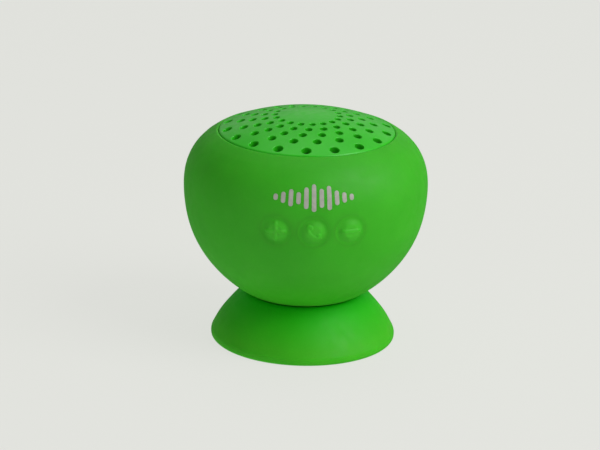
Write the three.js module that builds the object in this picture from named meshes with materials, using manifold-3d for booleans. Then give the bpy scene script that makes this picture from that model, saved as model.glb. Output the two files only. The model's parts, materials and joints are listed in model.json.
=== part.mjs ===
// Waterproof mushroom-shaped wireless speaker on a silicone suction cup.
// Units are millimetres, +Z is up, the origin is the centre of the suction cup's rim plane,
// and the control side faces -Y. The port side faces +Y.
import * as THREE from 'three';
import { mergeVertices } from 'three/addons/utils/BufferGeometryUtils.js';
import Module from 'manifold-3d';

const wasm = await Module();
wasm.setup();

// ---------------------------------------------------------------- driving dimensions
const BODY_R = 31.0;            // widest radius of the silicone body
const SLEEVE_T = 1.8;           // silicone sleeve wall
const SKIN_GAP = 0.3;           // sleeve to shell
const SHELL_T = 1.8;            // ABS shell wall
const SEAM_R = 22.55;           // sleeve opening round the grille
const GRILLE_R = 22.3;          // grille edge
const GRILLE_TOP = 59.5;        // top of the dome
const GRILLE_SPHERE = 56.6;     // dome radius of curvature
const GRILLE_T = 1.7;
const BODY_FLOOR = 12.25;       // underside of the sleeve
const PART_Z = 45.0;            // shell parting plane
const SHELL_SEAL_T = 0.6;
const BOSS = 15.9;              // shell bosses at (+-BOSS, +-BOSS)
const CUP_R = 23.6;             // suction cup, widest
const CUP_TOP = 11.95;          // top of the cup's hub
const BUTTON_Z = 38.0;
const BUTTON_PITCH = 9.2;
const BUTTON_R = 3.3;
const BUTTON_TRAVEL = 0.5;
const DRIVER_Z = 51.0;          // top face of the driver flange
const BOARD_Z = 30.0;           // underside of the main board
const KEY_Y = -21.0;            // front face of the key board
const PORT_Z = 33.0;            // centre of the port window
const SEG = 32;                 // facets round the body
const FINE = 24;                // facets round the driver and small turned pieces
// outer profile of the silicone body, radius and height, from the floor to the grille seam
const PROFILE = [
  [12.5, 12.25], [16.75, 14.06], [20.4, 16.9], [23.7, 20.32], [26.6, 24.32], [28.9, 28.91], [30.32, 34.0],
  [30.93, 38.6], [BODY_R, 41.0], [30.55, 45.3], [29.1, 49.0], [26.75, 52.05], [24.0, 54.13], [SEAM_R, 54.97],
];
// the same outline with fewer points, for everything under the silicone
const CORE = [
  [12.5, 12.25], [18.6, 15.41], [23.7, 20.32], [27.85, 26.54], [30.32, 34.0], [BODY_R, 41.0], [30.2, 46.6],
  [27.6, 51.2], [SEAM_R, 54.97],
];
const HOLE_COUNT = 18;
// grille holes: ring radius, hole radius, angle of the first hole from the front
const HOLE_RINGS = [
  [8.2, 0.8, 5.0], [10.95, 0.9, -2.0], [13.8, 0.96, -8.4], [16.75, 1.04, -15.2], [20.35, 1.2, -24.2],
];

// ---------------------------------------------------------------- colours
const mat = (color, roughness, metalness = 0) => new THREE.MeshStandardMaterial({ color, roughness, metalness });
const SILICONE = mat(0x3f9e25, 0.62);
const GRILLE = mat(0x45b83a, 0.28);
const ABS_BLACK = mat(0x17181a, 0.5);
const CLOTH = mat(0x0f2a0f, 0.95);
const STEEL = mat(0xb9bcc0, 0.35, 1);
const FERRITE = mat(0x2a2b2e, 0.7);
const PAPER = mat(0x1d1d1f, 0.9);
const RUBBER = mat(0x141414, 0.8);
const PCB = mat(0x0d5a34, 0.5);
const CHIP = mat(0x121214, 0.45);
const CELL = mat(0x8f9aa6, 0.4, 0.4);
const FOAM = mat(0x2c2c2c, 0.98);
const COPPER = mat(0xb8662e, 0.35, 1);
const WIRE = mat(0xa01818, 0.5);
const CLEAR = mat(0xdff3e0, 0.15);
const WHITE = mat(0xe8e8e4, 0.5);

// ---------------------------------------------------------------- helpers
function toSolid(geometry) {
  const g = geometry.clone();
  for (const name of Object.keys(g.attributes)) if (name !== 'position') g.deleteAttribute(name);
  const merged = mergeVertices(g, 1e-3);
  const index = merged.index.array;
  const tri = [];
  for (let i = 0; i < index.length; i += 3) {
    const [a, b, c] = [index[i], index[i + 1], index[i + 2]];
    if (a !== b && b !== c && a !== c) tri.push(a, b, c);
  }
  const vertProperties = new Float32Array(merged.attributes.position.array);
  const build = (t) => new wasm.Manifold(new wasm.Mesh({ numProp: 3, vertProperties, triVerts: new Uint32Array(t) }));
  const solid = build(tri);
  if (solid.volume() >= 0) return solid;
  for (let i = 0; i < tri.length; i += 3) [tri[i + 1], tri[i + 2]] = [tri[i + 2], tri[i + 1]];
  return build(tri);
}
function toGeometry(solid) {
  const m = solid.getMesh();
  const n = m.numProp;
  const v = new Float32Array(m.numVert * 3);
  for (let i = 0; i < m.numVert; i++) for (let k = 0; k < 3; k++) v[i * 3 + k] = m.vertProperties[i * n + k];
  const g = new THREE.BufferGeometry();
  g.setAttribute('position', new THREE.BufferAttribute(v, 3));
  g.setIndex(new THREE.BufferAttribute(new Uint32Array(m.triVerts), 1));
  g.computeVertexNormals();
  return g;
}
// closed profile of [radius, height] turned about Z
function turned(profile, segments = SEG, spin = 0) {
  const pts = profile.map(([r, z]) => new THREE.Vector2(r, z));
  pts.push(pts[0].clone());
  const g = new THREE.LatheGeometry(pts, segments);
  g.rotateX(Math.PI / 2);
  g.rotateZ(THREE.MathUtils.degToRad(spin));
  return toSolid(g);
}
function block(x0, x1, y0, y1, z0, z1) {
  const g = new THREE.BoxGeometry(x1 - x0, y1 - y0, z1 - z0);
  g.translate((x0 + x1) / 2, (y0 + y1) / 2, (z0 + z1) / 2);
  return toSolid(g);
}
// upright round bar
function bar(r, z0, z1, x = 0, y = 0, segments = 16) {
  const g = new THREE.CylinderGeometry(r, r, z1 - z0, segments);
  g.rotateX(Math.PI / 2);
  g.translate(x, y, (z0 + z1) / 2);
  return toSolid(g);
}
// round bar along Y
function barY(r, y0, y1, x, z, segments = 16) {
  const g = new THREE.CylinderGeometry(r, r, y1 - y0, segments);
  g.translate(x, (y0 + y1) / 2, z);
  return toSolid(g);
}
// rounded rectangle in the XZ plane, pushed along Y
function roundedPlate(x0, x1, z0, z1, radius, y0, y1) {
  const s = new THREE.Shape();
  const k = radius;
  s.moveTo(x0 + k, z0);
  s.lineTo(x1 - k, z0);
  s.absarc(x1 - k, z0 + k, k, -Math.PI / 2, 0, false);
  s.lineTo(x1, z1 - k);
  s.absarc(x1 - k, z1 - k, k, 0, Math.PI / 2, false);
  s.lineTo(x0 + k, z1);
  s.absarc(x0 + k, z1 - k, k, Math.PI / 2, Math.PI, false);
  s.lineTo(x0, z0 + k);
  s.absarc(x0 + k, z0 + k, k, Math.PI, 1.5 * Math.PI, false);
  const g = new THREE.ExtrudeGeometry(s, { depth: y1 - y0, bevelEnabled: false, curveSegments: 4 });
  g.rotateX(Math.PI / 2);   // extrusion runs along -Y
  g.translate(0, y1, 0);
  return toSolid(g);
}
// flat or round section along a smooth path
function lead(points, width, height, steps) {
  const s = new THREE.Shape();
  const n = 6;
  for (let i = 0; i < n; i++) {
    const a = ((i + 0.5) / n) * 2 * Math.PI;
    const p = [Math.cos(a) * width / 2, Math.sin(a) * height / 2];
    if (i) s.lineTo(...p); else s.moveTo(...p);
  }
  s.closePath();
  const path = new THREE.CatmullRomCurve3(points.map((p) => new THREE.Vector3(...p)));
  return toSolid(new THREE.ExtrudeGeometry(s, { steps, bevelEnabled: false, extrudePath: path }));
}
// an outline moved inwards along its normals
function offset(distance, outline = CORE) {
  return outline.map(([r, z], i) => {
    const a = outline[Math.max(0, i - 1)], b = outline[Math.min(outline.length - 1, i + 1)];
    const dr = b[0] - a[0], dz = b[1] - a[1], l = Math.hypot(dr, dz);
    return [r - (dz / l) * distance, z + (dr / l) * distance];
  });
}
// solid of revolution of the body outline moved inwards
function bodyCore(distance) {
  const moved = offset(distance, PROFILE), zLow = BODY_FLOOR + distance;
  const p = moved.filter(([, z]) => z > zLow + 0.05);
  return turned([[0, zLow], [moved[0][0], zLow], ...p, [0, p[p.length - 1][1]]]);
}
const cut = (solid, ...tools) => tools.reduce((s, t) => s.subtract(t), solid);
const join = (solid, ...others) => others.reduce((s, t) => s.add(t), solid);
const mesh = (name, solid, material) => {
  const m = new THREE.Mesh(toGeometry(solid), material);
  m.name = name;
  return m;
};
const group = (...children) => { const g = new THREE.Group(); g.add(...children); return g; };
const dome = (r, drop = 0) => GRILLE_TOP - drop - GRILLE_SPHERE + Math.sqrt(GRILLE_SPHERE ** 2 - r * r);

const speaker = new THREE.Group();
speaker.name = 'shower_speaker';

// ---------------------------------------------------------------- openings shared by sleeve and shells
const buttonX = [-BUTTON_PITCH, 0, BUTTON_PITCH];
const FLAP = { x0: -9.9, x1: 9.5, z0: 29.9, z1: 36.1, k: 2.6 };
const MIC_X = 11.9, LED_X = -12.1, SIDE_Z = 33.4;

// ---------------------------------------------------------------- silicone sleeve
const outerSolid = bodyCore(0);
const sleeveInner = offset(SLEEVE_T).filter(([, z]) => z > BODY_FLOOR + SLEEVE_T + 0.05);
const lipLow = sleeveInner[sleeveInner.length - 1];
sleeveInner[sleeveInner.length - 1] = [SEAM_R, Math.min(lipLow[1], PROFILE[PROFILE.length - 1][1] - 1.6)];
let sleeve = turned([
  [5.3, BODY_FLOOR], ...PROFILE, ...sleeveInner.reverse(), [12.6, BODY_FLOOR + SLEEVE_T], [5.3, BODY_FLOOR + SLEEVE_T],
]);
for (const x of buttonX) sleeve = sleeve.subtract(barY(BUTTON_R + 0.3, -34, -20, x, BUTTON_Z, 16));
sleeve = cut(sleeve,
  roundedPlate(FLAP.x0 - 0.3, FLAP.x1 + 0.3, FLAP.z0 - 0.3, FLAP.z1 + 0.3, FLAP.k + 0.3, 20, 36),
  barY(0.6, 20, 36, MIC_X, SIDE_Z, 10),
  barY(0.9, 20, 36, LED_X, SIDE_Z, 10));

// ---------------------------------------------------------------- shells
const shellOff = SLEEVE_T + SKIN_GAP;                 // 2.1
const innerOff = shellOff + SHELL_T;                  // 3.9
const shellOuter = offset(shellOff), shellInner = offset(innerOff);
const floorZ = BODY_FLOOR + shellOff;                 // 14.35
const floorTop = floorZ + 1.75;                       // 16.1
const between = (pts, z0, z1) => pts.filter(([, z]) => z > z0 + 0.05 && z < z1 - 0.05);
const radiusAt = (pts, z) => {
  for (let i = 1; i < pts.length; i++) {
    const [r0, a] = pts[i - 1], [r1, b] = pts[i];
    if ((a - z) * (b - z) <= 0 && a !== b) return r0 + ((z - a) / (b - a)) * (r1 - r0);
  }
  throw new Error('no radius at ' + z);
};
const lowOuter = [[12.8, floorZ], ...between(shellOuter, floorZ + 0.2, PART_Z), [radiusAt(shellOuter, PART_Z), PART_Z]];
const lowInner = [[radiusAt(shellInner, PART_Z), PART_Z], ...between(shellInner, floorTop + 0.4, PART_Z).reverse(), [12.9, floorTop]];
let lowerShell = turned([[5.3, floorZ], ...lowOuter, ...lowInner, [5.3, floorTop]]);
const lowerFull = turned([[0, floorZ], ...lowOuter, [0, PART_Z]]);
for (const x of [-BOSS, BOSS]) for (const y of [-BOSS, BOSS]) {
  lowerShell = lowerShell.add(bar(2.9, 18, PART_Z, x, y, 8).intersect(lowerFull));
}
for (const x of [-17.2, 17.2]) lowerShell = lowerShell.add(bar(2.0, 17, BOARD_Z - 0.2, x, 0, 8).intersect(lowerFull));
for (const x of [-13.4, 13.4]) lowerShell = lowerShell.add(barY(1.35, -30, KEY_Y - 0.15, x, 35.2, 8).intersect(lowerFull));
for (const x of [-BOSS, BOSS]) for (const y of [-BOSS, BOSS]) {
  lowerShell = cut(lowerShell, bar(1.95, 10, 36.5, x, y, 10), bar(1.0, 36, PART_Z + 1, x, y, 8));
}
for (const x of [-17.2, 17.2]) lowerShell = lowerShell.subtract(bar(0.8, 25.5, BOARD_Z, x, 0, 8));
for (const x of [-13.4, 13.4]) lowerShell = lowerShell.subtract(barY(0.7, -23.2, -20, x, 35.2, 8));
for (const x of buttonX) lowerShell = lowerShell.subtract(barY(2.9, -34, -22.4, x, BUTTON_Z, 16));
lowerShell = cut(lowerShell,
  roundedPlate(-9.5, 8.9, 31.0, 35.5, 0.8, 21, 36),
  barY(0.6, 18, 36, MIC_X, SIDE_Z, 10),
  barY(0.9, 18, 36, LED_X, SIDE_Z, 10));

const upZ = PART_Z + SHELL_SEAL_T + 0.2;
const upOuter = [[radiusAt(shellOuter, upZ), upZ], ...between(shellOuter, upZ, 52.6), [22.75, 52.85]];
let upperShell = turned([
  ...upOuter, [22.5, 52.85], [22.5, 51.3], [20.15, 51.3], [20.15, 49.0], [17.45, 49.0], [17.45, 47.4], [21.4, 47.4],
  [23.5, 49.4], ...between(shellInner, upZ, 49.2).reverse(), [radiusAt(shellInner, upZ), upZ],
]);
const upperFull = turned([[17.45, upZ], ...upOuter, [22.5, 52.85], [22.5, 51.3], [20.15, 51.3], [20.15, 49.0], [17.45, 49.0]]);
for (const x of [-BOSS, BOSS]) for (const y of [-BOSS, BOSS]) {
  upperShell = upperShell.add(bar(2.9, upZ, 50.5, x, y, 8).intersect(upperFull));
}
for (const x of [-BOSS, BOSS]) for (const y of [-BOSS, BOSS]) upperShell = upperShell.subtract(bar(0.85, 44, 50.0, x, y, 8));

const sealOut = radiusAt(shellOuter, PART_Z) - 0.3, sealIn = radiusAt(shellInner, PART_Z) + 0.2;
let shellSeal = turned([[sealIn, PART_Z + 0.1], [sealOut, PART_Z + 0.1], [sealOut, upZ - 0.1], [sealIn, upZ - 0.1]]);

// ---------------------------------------------------------------- grille and cloth
const domeR = [0, 12.4, 21.7];
const dish = turned([
  ...domeR.map((r) => [r, dome(r)]), ...domeR.slice().reverse().map((r) => [r, dome(r, GRILLE_T)]),
], HOLE_COUNT, 11);
let grille = join(dish, turned([
  [21.3, dome(21.3)], [22.1, dome(22.1)], [GRILLE_R, dome(22.1) - 0.4], [GRILLE_R, 51.6], [20.7, 51.6],
  [20.7, dome(20.7, GRILLE_T) + 0.1], [21.3, dome(20.7, GRILLE_T) + 0.3],
], 36));
for (const [ring, hole, first] of HOLE_RINGS) {
  const tilt = Math.asin(ring / GRILLE_SPHERE);
  for (let i = 0; i < HOLE_COUNT; i++) {
    const a = THREE.MathUtils.degToRad(first + (i * 360) / HOLE_COUNT - 90);
    const g = new THREE.ConeGeometry((hole * 60) / 57, 60, 6);   // moulding draft, a degree or so
    g.rotateX(-Math.PI / 2);
    g.translate(0, 0, -27);
    g.rotateY(tilt);
    g.rotateZ(a);
    g.translate(ring * Math.cos(a), ring * Math.sin(a), dome(ring, GRILLE_T / 2));
    grille = grille.subtract(toSolid(g));
  }
}
const clothR = [0, 9.6, 20.3];
const grilleCloth = turned([
  ...clothR.map((r) => [r, dome(r, GRILLE_T + 0.45)]), ...clothR.slice().reverse().map((r) => [r, dome(r, GRILLE_T + 0.75)]),
], FINE);

// ---------------------------------------------------------------- suction cup
// hub cavity holds the moulded-in insert
const CUP_OUT = [
  [22.9, 0], [23.35, 0.35], [CUP_R, 1.2], [23.4, 2.1], [22.1, 4.6], [19.4, 8.3], [16.9, 11.0], [14.8, CUP_TOP],
];
let cup = turned([
  ...CUP_OUT, [4.95, CUP_TOP], [4.95, 10.75], [8.9, 10.75], [8.9, 9.15], [0, 9.15], [0, 7.7],
  [8, 7.3], [14.5, 5.8], [19.3, 3.0], [21.5, 0],
]);
const hubInsert = turned([[0, 9.3], [8.6, 9.3], [8.6, 10.55], [4.7, 10.55], [4.7, 16.25], [1.0, 16.25], [1.0, 11.3], [0, 11.3]], 24);
const retainer = turned([[1.4, 16.4], [7.5, 16.4], [7.5, 17.4], [1.4, 17.4]], 24);
const cupScrew = turned([[0, 11.6], [0.85, 11.6], [0.85, 17.55], [2.4, 17.55], [2.4, 18.6], [1.5, 19.0], [0, 19.0]], 16);

// ---------------------------------------------------------------- buttons
// each button: silicone dome, rigid key behind it, and the stem of the switch it presses
const padShell = outerSolid.subtract(bodyCore(1.1));
const keyCore = bodyCore(1.35);
const buttonNames = ['volume_up', 'call', 'volume_down'];
const buttons = buttonNames.map((name, i) => {
  const x = buttonX[i];
  const angle = Math.asin(x / 30.9);
  const d = new THREE.LatheGeometry([[0, -0.9], [3.2, -0.9], [3.2, 0.05], [2.7, 0.45], [1.5, 0.76], [0, 0.85]]
    .map(([r, h]) => new THREE.Vector2(r, h)), 16);
  d.rotateX(Math.PI);                      // dome points along -Y
  d.translate(0, -30.9, 0);
  d.rotateZ(angle);
  d.translate(0, 0, BUTTON_Z);
  const pad = padShell.add(toSolid(d)).intersect(barY(BUTTON_R, -36, -20, x, BUTTON_Z, 16));
  const key = join(barY(2.6, -32, -25.0, x, BUTTON_Z, 14).intersect(keyCore), barY(1.4, -25.3, -23.65, x, BUTTON_Z, 10));
  const stem = barY(0.9, -23.5, -22.3, x, BUTTON_Z, 10);
  return group(
    mesh('button_' + name, pad, SILICONE),
    mesh('key_' + name, key, ABS_BLACK),
    mesh('switch_stem_' + name, stem, WHITE),
  );
});
const tactCase = cut(block(-2.25, 2.25, -22.8, -21.1, -2.25, 2.25), barY(1.15, -24, -21.6, 0, 0, 10));
const tacts = buttonNames.map((name, i) => {
  const m = mesh('tact_switch_' + name, tactCase, STEEL);
  m.position.set(buttonX[i], 0, BUTTON_Z);
  return m;
});

// ---------------------------------------------------------------- key board, main board and what they carry
let keyBoard = block(-14.8, 14.8, KEY_Y, KEY_Y + 1.0, 33.4, 42.6);
for (const x of [-13.4, 13.4]) keyBoard = keyBoard.subtract(barY(0.75, -22, -19, x, 35.2, 8));
const smallScrew = turned([[0, 0], [0.55, 0], [0.55, 2.75], [1.2, 2.75], [1.2, 3.6], [0, 3.6]], 8);
const keyScrews = [-13.4, 13.4].map((x, i) => {
  const m = mesh('key_board_screw_' + (i + 1), smallScrew, STEEL);
  m.rotation.x = -Math.PI / 2;
  m.position.set(x, -22.65, 35.2);
  return m;
});
let mainBoard = join(bar(19.0, BOARD_Z, BOARD_Z + 1.2, 0, 0, 36), block(-12.6, 12.6, 0, 20.6, BOARD_Z, BOARD_Z + 1.2),
  block(-9.2, 9.2, 0, 22.8, BOARD_Z, BOARD_Z + 1.2));
for (const x of [-17.2, 17.2]) mainBoard = mainBoard.subtract(bar(0.85, 28, 34, x, 0, 8));
const boardTop = BOARD_Z + 1.35;
const boardScrew = turned([[0, 0], [0.65, 0], [0.65, 5.0], [1.4, 5.0], [1.4, 6.0], [0, 6.0]], 8);
const boardScrews = [-17.2, 17.2].map((x, i) => {
  const m = mesh('board_screw_' + (i + 1), boardScrew, STEEL);
  m.position.set(x, 0, boardTop - 5.0);
  return m;
});
const btModule = block(-9.5, 0.5, -15.2, -5.2, boardTop, boardTop + 1.9);
const ampChip = block(3.6, 8.6, -13.6, -8.6, boardTop, boardTop + 1.3);
const usbShell = cut(block(-8.9, -1.3, 19.2, 25.4, boardTop, boardTop + 2.7), block(-8.5, -1.7, 20.0, 27, boardTop + 0.4, boardTop + 2.3));
const usbTongue = block(-7.2, -3.0, 20.2, 24.2, boardTop + 1.35, boardTop + 2.0);
const switchCase = cut(block(0.6, 8.4, 19.8, 23.4, boardTop, boardTop + 3.0), block(1.9, 7.1, 21.6, 25, boardTop + 0.75, boardTop + 2.25));
const switchKnob = block(2.2, 4.4, 21.9, 25.9, boardTop + 0.95, boardTop + 2.05);
const micCapsule = barY(1.8, 19.6, 21.6, MIC_X - 0.6, boardTop + 2.05, 12);
const led = block(-12.75, -11.45, 15.8, 17.4, boardTop, boardTop + 1.1);
const lightPipe = join(barY(0.65, 17.2, 26.9, LED_X, SIDE_Z, 10), bar(0.62, boardTop + 1.4, SIDE_Z + 0.45, LED_X, 17.3, 10));
const keyRibbon = lead([[0, -19.3, 36.2], [0, -18.3, 35.4], [0, -17.5, 33.6], [0, -16.6, 31.85]], 6.0, 0.5, 8);

// ---------------------------------------------------------------- battery
const battery = roundedPlate(-12.0, 12.0, 0, 6.0, 1.4, 0, 20);
const foam = cut(block(-9.3, 9.3, -8.2, 8.2, 16.4, 19.35), bar(8.1, 15, 21, 0, 0, 20));
const batteryLead = lead([[12.9, 5.5, 23.0], [15.0, 6.6, 24.4], [15.6, 7.6, 26.8], [13.8, 8.0, 28.8]], 1.1, 1.6, 10);

// ---------------------------------------------------------------- driver, measured from the top face of its flange
let basket = turned([
  [19.8, 0], [19.8, -1], [17.2, -1], [13.5, -7.9], [13.5, -8.5], [7.0, -8.5], [7.0, -7.7], [12.8, -7.7], [16.3, -1.0], [16.3, 0],
], FINE);
for (let i = 0; i < 4; i++) {
  const g = new THREE.BoxGeometry(14, 11, 3.6);
  g.translate(16, 0, -4.7);
  g.rotateZ((i + 0.5) * Math.PI / 2);
  basket = basket.subtract(toSolid(g));
}
const topPlate = turned([[5.9, -10.3], [12.4, -10.3], [12.4, -8.65], [5.9, -8.65]], FINE);
const magnet = turned([[7.0, -15.4], [12.9, -15.4], [12.9, -10.45], [7.0, -10.45]], FINE);
const yoke = turned([[0, -17.3], [12.4, -17.3], [12.4, -15.55], [4.5, -15.55], [4.5, -8.7], [0, -8.7]], FINE);
const spider = turned([
  [5.15, -6.3], [7.8, -5.9], [10.4, -6.4], [13.2, -6.2], [13.2, -5.8], [10.4, -6.0], [7.8, -5.5], [5.15, -5.9],
], FINE);
const surround = turned([
  [13.1, 0.12], [14.5, 0.12], [15.55, 1.3], [16.6, 0.12], [18.4, 0.12], [18.4, 0.5], [16.8, 0.5], [15.9, 1.75],
  [15.2, 1.75], [14.3, 0.5], [13.1, 0.5],
], FINE);
const cone = turned([[5.15, -4.95], [14.5, -0.5], [14.5, 0.0], [14.1, 0.0], [5.15, -4.4]], FINE);
const dustCap = turned([[0, -2.0], [3.6, -2.45], [6.4, -3.55], [6.2, -3.75], [3.5, -2.85], [0, -2.35]], FINE);
const voiceCoil = turned([[4.75, -13.4], [5.0, -13.4], [5.0, -11.3], [5.5, -11.3], [5.5, -8.0], [5.0, -8.0], [5.0, -4.6], [4.75, -4.6]], FINE);
const terminals = block(15.8, 16.8, -3.4, 3.4, -7.4, -4.3);
const gasket = turned([[17.6, -1.85], [19.9, -1.85], [19.9, -1.15], [17.6, -1.15]], FINE);
const speakerLead = lead([[17.8, 0.6, 44.6], [19.0, -0.6, 42.0], [17.6, -3.2, 36.0], [12.4, -5.2, 32.3]], 1.1, 1.6, 12);

// ---------------------------------------------------------------- port flap
const flapWall = outerSolid.subtract(bodyCore(1.5));
let flap = flapWall.intersect(roundedPlate(FLAP.x0, FLAP.x1, FLAP.z0, FLAP.z1, FLAP.k, 22, 36));
flap = join(flap, roundedPlate(-8.7, 8.1, 31.9, 34.6, 0.8, 26.6, 28.2).intersect(bodyCore(1.4)));
const lift = roundedPlate(-3.2, 2.4, 35.0, 35.9, 0.4, 29.2, 30.95);
flap = flap.add(lift);

// ---------------------------------------------------------------- shell screws
const shellScrew = bar(0.7, 0, 12.4, 0, 0, 8);
const screwHead = bar(1.7, -1.3, 0.01, 0, 0, 10);
const caseScrew = cut(shellScrew.add(screwHead), block(-1.1, 1.1, -0.2, 0.2, -2, -0.7));
let k = 0;
const shellScrews = [];
for (const x of [-BOSS, BOSS]) for (const y of [-BOSS, BOSS]) {
  const m = mesh('shell_screw_' + (++k), caseScrew, STEEL);
  m.position.set(x, y, 36.35);
  shellScrews.push(m);
}

// ---------------------------------------------------------------- assembly
const driver = group(
  mesh('driver_gasket', gasket, FOAM), mesh('driver_basket', basket, STEEL), mesh('driver_top_plate', topPlate, STEEL),
  mesh('driver_magnet', magnet, FERRITE), mesh('driver_yoke', yoke, STEEL), mesh('driver_spider', spider, CLOTH),
  mesh('driver_surround', surround, RUBBER), mesh('driver_cone', cone, PAPER), mesh('dust_cap', dustCap, PAPER),
  mesh('voice_coil', voiceCoil, COPPER), mesh('driver_terminals', terminals, PCB),
);
driver.position.z = DRIVER_Z;
const cell = mesh('battery_cell', battery, CELL);
cell.position.set(0, -10, 19.7);
speaker.add(
  group(mesh('suction_cup', cup, SILICONE), mesh('cup_hub_insert', hubInsert, ABS_BLACK),
    mesh('cup_retainer_washer', retainer, STEEL), mesh('cup_screw', cupScrew, STEEL)),
  group(mesh('silicone_sleeve', sleeve, SILICONE), mesh('speaker_grille', grille, GRILLE), mesh('grille_cloth', grilleCloth, CLOTH),
    mesh('upper_shell', upperShell, ABS_BLACK), mesh('lower_shell', lowerShell, ABS_BLACK), mesh('shell_seal', shellSeal, RUBBER),
    ...shellScrews),
  driver,
  group(mesh('main_board', mainBoard, PCB), mesh('bluetooth_module', btModule, STEEL), mesh('amplifier_chip', ampChip, CHIP),
    mesh('usb_socket', usbShell, STEEL), mesh('usb_tongue', usbTongue, CHIP), mesh('power_switch_case', switchCase, STEEL),
    mesh('power_switch_knob', switchKnob, ABS_BLACK), mesh('microphone', micCapsule, RUBBER), mesh('status_led', led, WHITE),
    mesh('led_light_pipe', lightPipe, CLEAR), ...boardScrews),
  group(mesh('key_board', keyBoard, PCB), ...tacts, ...keyScrews, mesh('key_ribbon', keyRibbon, WHITE)),
  group(cell, mesh('battery_foam', foam, FOAM), mesh('battery_lead', batteryLead, WIRE), mesh('speaker_lead', speakerLead, WIRE)),
  ...buttons,
  mesh('port_flap', flap, SILICONE),
);

export default speaker;
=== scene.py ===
import json
import math

import bpy
import numpy as np
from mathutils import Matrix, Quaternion, Vector
from mathutils.geometry import delaunay_2d_cdt


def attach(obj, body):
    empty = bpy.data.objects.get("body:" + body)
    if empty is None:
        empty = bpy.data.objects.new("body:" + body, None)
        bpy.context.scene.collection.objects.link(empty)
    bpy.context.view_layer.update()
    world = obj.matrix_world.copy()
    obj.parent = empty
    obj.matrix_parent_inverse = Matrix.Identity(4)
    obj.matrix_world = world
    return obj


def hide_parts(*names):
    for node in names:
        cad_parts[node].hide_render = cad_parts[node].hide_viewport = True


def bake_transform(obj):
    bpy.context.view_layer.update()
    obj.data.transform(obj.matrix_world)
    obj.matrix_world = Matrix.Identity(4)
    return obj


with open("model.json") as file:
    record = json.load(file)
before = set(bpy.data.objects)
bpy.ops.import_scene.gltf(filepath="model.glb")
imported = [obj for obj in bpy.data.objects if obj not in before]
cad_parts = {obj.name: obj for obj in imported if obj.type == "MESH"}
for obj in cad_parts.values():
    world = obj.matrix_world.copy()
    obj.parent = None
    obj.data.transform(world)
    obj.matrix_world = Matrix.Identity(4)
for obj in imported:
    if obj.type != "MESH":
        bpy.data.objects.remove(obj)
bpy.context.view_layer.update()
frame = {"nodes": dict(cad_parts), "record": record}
MM = 0.001

# ------------------------------------------------------------------ measured outline of the body
OUTLINE = [
    (23.0, 54.70), (24.0, 54.13), (25.2, 53.32), (26.32, 52.43), (28.26, 50.32), (29.69, 47.84), (30.58, 45.13), (30.96, 42.30),
    (30.96, 39.46), (30.73, 36.69), (30.32, 34.00), (29.71, 31.40), (28.88, 28.91), (27.83, 26.54),
    (26.60, 24.32), (25.21, 22.24), (23.69, 20.32), (22.08, 18.54), (20.37, 16.90), (18.59, 15.41),
    (16.73, 14.06), (14.73, 12.97), (12.54, 12.36),
]
SLEEVE_T = 1.8
SEAM_R = 22.45
GRILLE_TOP, SPHERE, GRILLE_T = 59.5, 56.6, 1.7
RINGS = [(8.2, 0.8, 5.0), (10.95, 0.9, -2.0), (13.8, 0.96, -8.4), (16.75, 1.04, -15.2), (20.35, 1.2, -24.2)]
BUTTON_Z, BUTTON_X = 38.0, 9.2
PATCH_R = 4.2
TURNS = 160


# ------------------------------------------------------------------ colour
def lin(r, g, b):
    def f(c):
        c = c / 255.0
        return c / 12.92 if c <= 0.04045 else ((c + 0.055) / 1.055) ** 2.4

    return (f(r), f(g), f(b), 1.0)


class Nodes:
    """Short names for the node calls of one material."""

    def __init__(self, name):
        self.mat = bpy.data.materials.new(name)
        self.mat.use_nodes = True
        self.tree = self.mat.node_tree
        self.tree.nodes.clear()
        self.out = self.tree.nodes.new("ShaderNodeOutputMaterial")
        self.bsdf = self.tree.nodes.new("ShaderNodeBsdfPrincipled")
        self.link(self.bsdf.outputs[0], self.out.inputs[0])
        self.coord = self.tree.nodes.new("ShaderNodeTexCoord")

    def link(self, a, b):
        self.tree.links.new(a, b)

    def new(self, kind, **values):
        n = self.tree.nodes.new(kind)
        for k, v in values.items():
            if k in n.inputs:
                n.inputs[k].default_value = v
            else:
                setattr(n, k, v)
        return n

    def set(self, **values):
        for k, v in values.items():
            self.bsdf.inputs[k.replace("_", " ")].default_value = v

    def at(self, scale=(1, 1, 1), source="Object"):
        m = self.tree.nodes.new("ShaderNodeMapping")
        m.inputs["Scale"].default_value = scale
        self.link(self.coord.outputs[source], m.inputs["Vector"])
        return m.outputs[0]

    def noise(self, scale, detail=3.0, roughness=0.5, stretch=(1, 1, 1)):
        n = self.new("ShaderNodeTexNoise", Scale=scale, Detail=detail, Roughness=roughness)
        self.link(self.at(stretch), n.inputs["Vector"])
        return n.outputs["Fac"]

    def ramp(self, fac, stops):
        r = self.tree.nodes.new("ShaderNodeValToRGB")
        e = r.color_ramp.elements
        e[0].position, e[0].color = stops[0]
        e[1].position, e[1].color = stops[-1]
        for p, c in stops[1:-1]:
            x = e.new(p)
            x.color = c
        self.link(fac, r.inputs[0])
        return r.outputs[0]

    def span(self, fac, low, high, a=0.35, b=0.65):
        m = self.new("ShaderNodeMapRange")
        m.inputs["From Min"].default_value = a
        m.inputs["From Max"].default_value = b
        m.inputs["To Min"].default_value = low
        m.inputs["To Max"].default_value = high
        self.link(fac, m.inputs["Value"])
        return m.outputs[0]

    def bump(self, height, strength, distance, base=None):
        b = self.new("ShaderNodeBump", Strength=strength, Distance=distance)
        self.link(height, b.inputs["Height"])
        if base is not None:
            self.link(base, b.inputs["Normal"])
        return b.outputs[0]

    def math(self, op, a, b):
        m = self.new("ShaderNodeMath", operation=op)
        for i, v in enumerate((a, b)):
            if isinstance(v, (int, float)):
                m.inputs[i].default_value = v
            else:
                self.link(v, m.inputs[i])
        return m.outputs[0]


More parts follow.
